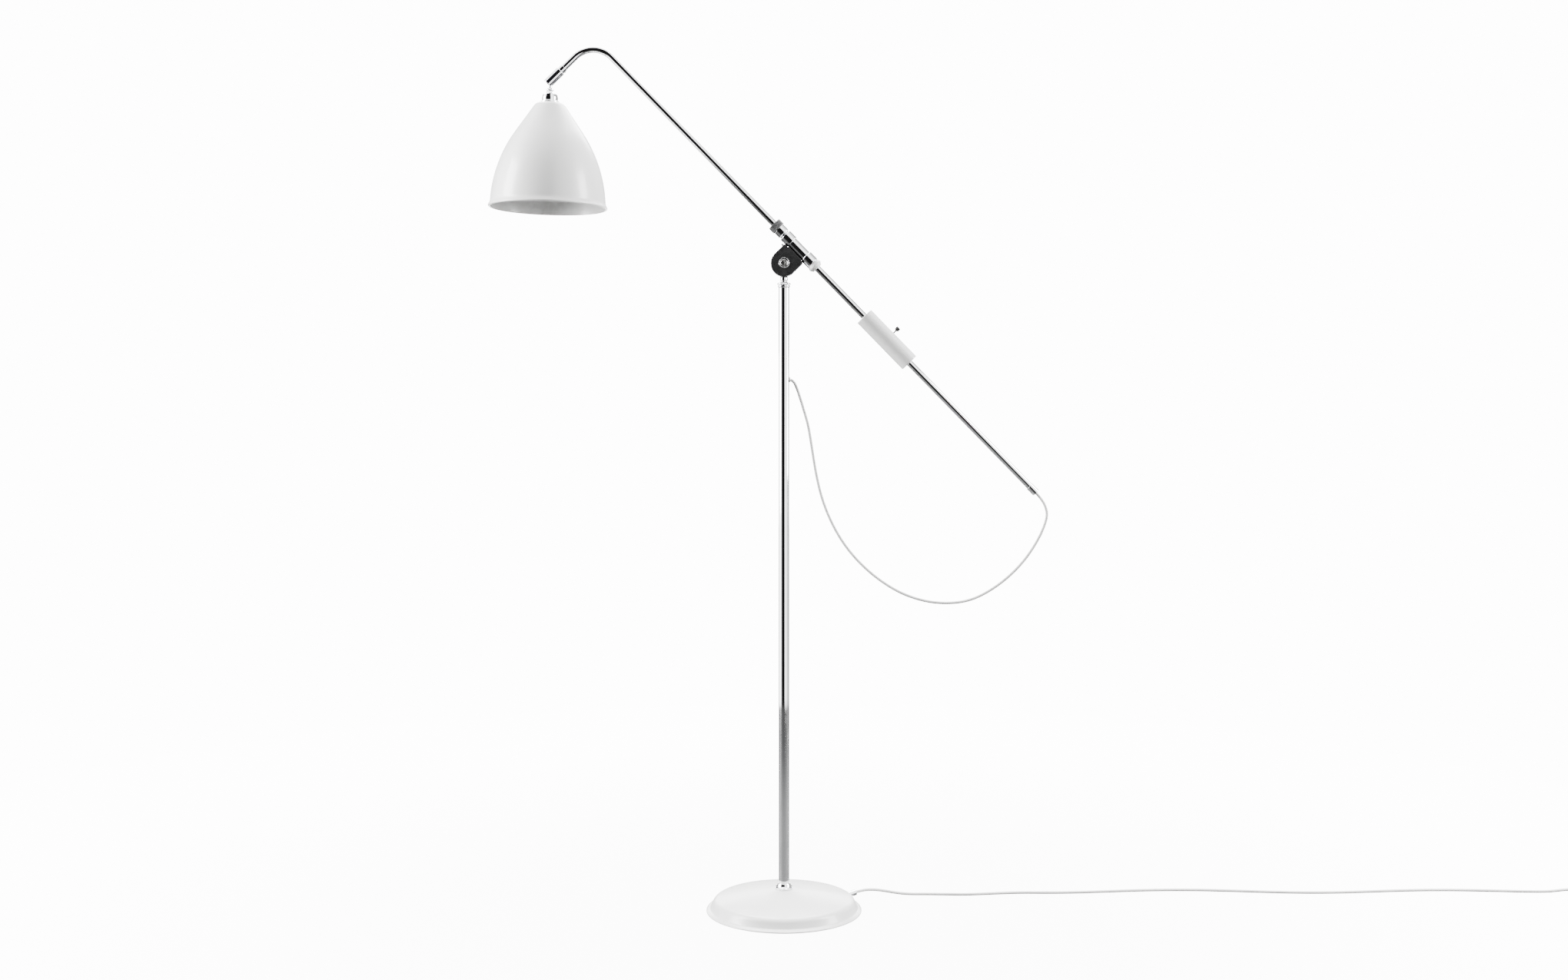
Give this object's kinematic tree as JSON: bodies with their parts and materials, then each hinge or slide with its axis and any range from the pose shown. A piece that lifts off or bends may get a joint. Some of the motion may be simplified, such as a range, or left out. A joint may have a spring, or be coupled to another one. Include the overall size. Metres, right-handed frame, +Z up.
{
  "type": "adjustable arm floor lamp",
  "caption": "Floor lamp with a weighted round base, slim post, tilting counterbalanced arm that slides and turns in a sleeve, bell shade on a ball joint and a mains lead.",
  "frame": {"origin": "centre of the base's underside, on the floor", "axes": "+Z up; the arm lies in the XZ plane at rest, its tail and counterweight towards +X and its shade towards -X"},
  "size_m": [2.1534, 0.3289, 1.5377],
  "materials": {
    "white_steel": "gloss",
    "white_aluminium": "gloss white lacquer",
    "iron": "rough",
    "pad_rubber": "matte",
    "zinc_steel": "satin",
    "polished_chrome": "polished",
    "black_casting": "satin",
    "black_plastic": "satin",
    "white_plastic": "satin",
    "grey_knurl": "knurled",
    "white_cord": "satin",
    "brass": "satin",
    "bulb_glass": "opal"
  },
  "bodies": {
    "stand": {"base_cover": "white_steel", "base_weight": "iron", "base_pad": "pad_rubber", "tie_rod": "zinc_steel", "tie_washer": "zinc_steel", "tie_nut": "zinc_steel", "lead_gland": "polished_chrome", "gland_nut": "zinc_steel", "post_tube": "polished_chrome", "post_foot": "zinc_steel", "post_collar": "polished_chrome", "post_grommet": "white_plastic", "post_cap": "polished_chrome", "post_flex": "white_cord", "loop_cord_post": "white_cord", "mains_lead": "white_cord", "switch_lead": "white_cord", "lead_coil": "white_cord", "plug_lead": "white_cord", "switch_base": "white_plastic", "switch_cover": "white_plastic", "rocker_pin": "zinc_steel", "plug_body": "white_plastic", "plug_neck": "white_plastic", "plug_pins": "brass"},
    "swivel_head": {"swivel_saucer": "polished_chrome", "swivel_neck": "polished_chrome", "swivel_nut": "zinc_steel", "loop_cord_drop": "white_cord"},
    "clevis_sleeve": {"pivot_clevis": "black_casting", "pivot_bolt": "polished_chrome", "pivot_bezel": "polished_chrome", "pivot_nut": "zinc_steel", "friction_washer_rear": "white_plastic", "friction_washer_front": "white_plastic", "sleeve_tube": "polished_chrome", "sleeve_collet": "zinc_steel", "clevis_screw": "polished_chrome", "loop_cord_rise": "white_cord"},
    "arm_bush": {"arm_bush": "white_plastic"},
    "collet_nut": {"collet_nut": "grey_knurl"},
    "arm": {"arm_tube": "polished_chrome", "arm_flex": "white_cord", "tail_ferrule": "polished_chrome", "end_collar": "polished_chrome", "collar_screw": "zinc_steel", "loop_cord_tail": "white_cord"},
    "counterweight": {"counterweight": "white_steel"},
    "thumbscrew": {"thumbscrew": "black_plastic"},
    "knuckle": {"knuckle_socket": "polished_chrome", "ball_seat": "black_plastic"},
    "shade_stem": {"ball_stem": "polished_chrome", "stem_nut": "zinc_steel"},
    "shade": {"shade_gallery": "polished_chrome", "lampholder": "black_plastic", "shade_ring": "black_plastic", "shade": "white_aluminium", "bulb_cap": "brass", "bulb_glass": "bulb_glass"},
    "switch_rocker": {"switch_rocker": "white_plastic"}
  },
  "joints": [
    {"name": "head_swivel", "type": "hinge", "parent": "stand", "child": "swivel_head", "pos_m": [0, 0, 1.1075], "axis": [0, 0, 1], "range_deg": [-90, 90], "deforming": ["loop_cord_post", "loop_cord_drop", "loop_cord_rise", "loop_cord_tail"]},
    {"name": "arm_tilt", "type": "hinge", "parent": "swivel_head", "child": "clevis_sleeve", "pos_m": [0, 0, 1.151], "axis": [0, 1, 0], "range_deg": [-60, 40], "deforming": ["loop_cord_post", "loop_cord_drop", "loop_cord_rise", "loop_cord_tail"]},
    {"name": "arm_roll", "type": "hinge", "parent": "clevis_sleeve", "child": "arm_bush", "pos_m": [0.02608, 0, 1.1764], "axis": [0.6977, 0, -0.7164], "range_deg": [-60, 60], "deforming": ["loop_cord_post", "loop_cord_drop", "loop_cord_rise", "loop_cord_tail"]},
    {"name": "arm_slide", "type": "slide", "parent": "arm_bush", "child": "arm", "axis": [0.6977, 0, -0.7164], "range_m": [-0.05, 0.12], "deforming": ["loop_cord_post", "loop_cord_drop", "loop_cord_rise", "loop_cord_tail"]},
    {"name": "collet_nut_turn", "type": "hinge", "parent": "clevis_sleeve", "child": "collet_nut", "pos_m": [-0.00881, 0, 1.21222], "axis": [0.6977, 0, -0.7164], "range_deg": [0, 180]},
    {"name": "counterweight_slide", "type": "slide", "parent": "arm", "child": "counterweight", "axis": [0.6977, 0, -0.7164], "range_m": [-0.05, 0.25]},
    {"name": "thumbscrew_turn", "type": "hinge", "parent": "counterweight", "child": "thumbscrew", "pos_m": [0.19502, 0, 1.02727], "axis": [0.7164, 0, 0.6977], "range_deg": [0, 180]},
    {"name": "knuckle_swivel", "type": "hinge", "parent": "arm", "child": "knuckle", "pos_m": [-0.4058, 0, 1.48515], "axis": [-0.7164, 0, -0.6977], "range_deg": [-170, 170]},
    {"name": "shade_tilt", "type": "hinge", "parent": "knuckle", "child": "shade_stem", "pos_m": [-0.41583, 0, 1.47538], "axis": [0, 1, 0], "range_deg": [-40, 40]},
    {"name": "shade_turn", "type": "hinge", "parent": "shade_stem", "child": "shade", "pos_m": [-0.41621, 0, 1.45538], "axis": [0.0192, 0, 0.9998], "range_deg": [-170, 170]},
    {"name": "switch_rocker_tilt", "type": "hinge", "parent": "stand", "child": "switch_rocker", "pos_m": [1.493, 0.1055, 0.011], "axis": [0, 1, 0], "range_deg": [-8, 8]}
  ]
}
